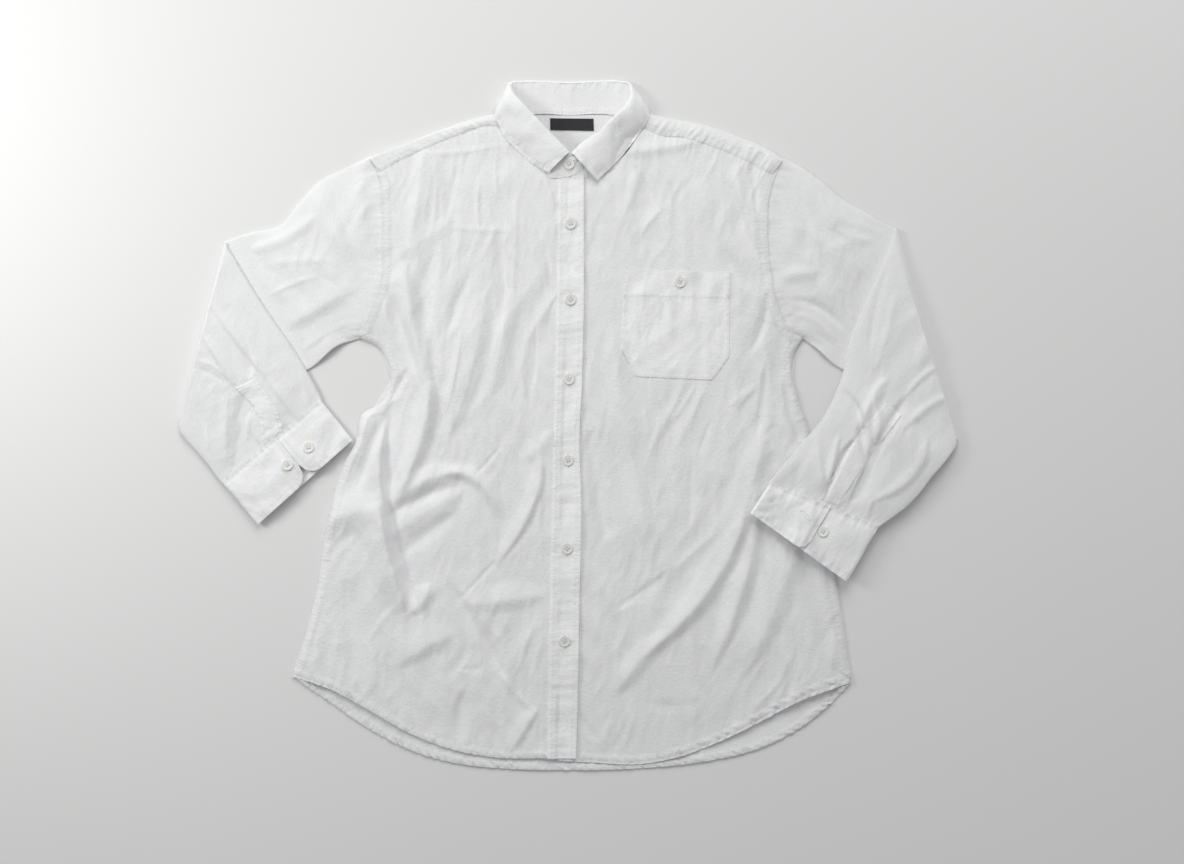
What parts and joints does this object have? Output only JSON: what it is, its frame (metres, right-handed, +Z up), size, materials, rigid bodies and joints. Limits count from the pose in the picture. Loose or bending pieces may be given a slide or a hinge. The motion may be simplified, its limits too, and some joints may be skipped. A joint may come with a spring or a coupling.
{
  "type": "shirt",
  "caption": "Long-sleeved button-up cotton shirt laid flat on its back, front up, with both sleeves folded back at the elbow and the cuffs unbuttoned.",
  "frame": {"origin": "middle of the shirt's outline, on the surface that it lies on", "axes": "+Z up from the surface, +Y towards the collar, +X to the right of someone who looks down on the front with the collar at the top"},
  "size_m": [0.893, 0.7951, 0.0223],
  "materials": {
    "cotton": "matt plain-weave cotton, washed and creased",
    "label": "matt black woven label",
    "button": "polished pale ivory"
  },
  "bodies": {
    "root": {"back": "cotton", "yoke": "cotton", "front_left": "cotton", "front_right": "cotton", "placket": "cotton", "pocket": "cotton", "collar_stand": "cotton", "collar_leaf": "cotton", "label": "label", "sleeve_left": "cotton", "sleeve_right": "cotton", "cuff_left": "cotton", "cuff_right": "cotton", "sleeve_placket_left": "cotton", "sleeve_placket_right": "cotton", "button_stand": "button", "button_front_1": "button", "button_front_2": "button", "button_front_3": "button", "button_front_4": "button", "button_front_5": "button", "button_front_6": "button", "button_pocket": "button", "button_cuff_left_1": "button", "button_cuff_left_2": "button", "button_cuff_right": "button"}
  },
  "joints": []
}
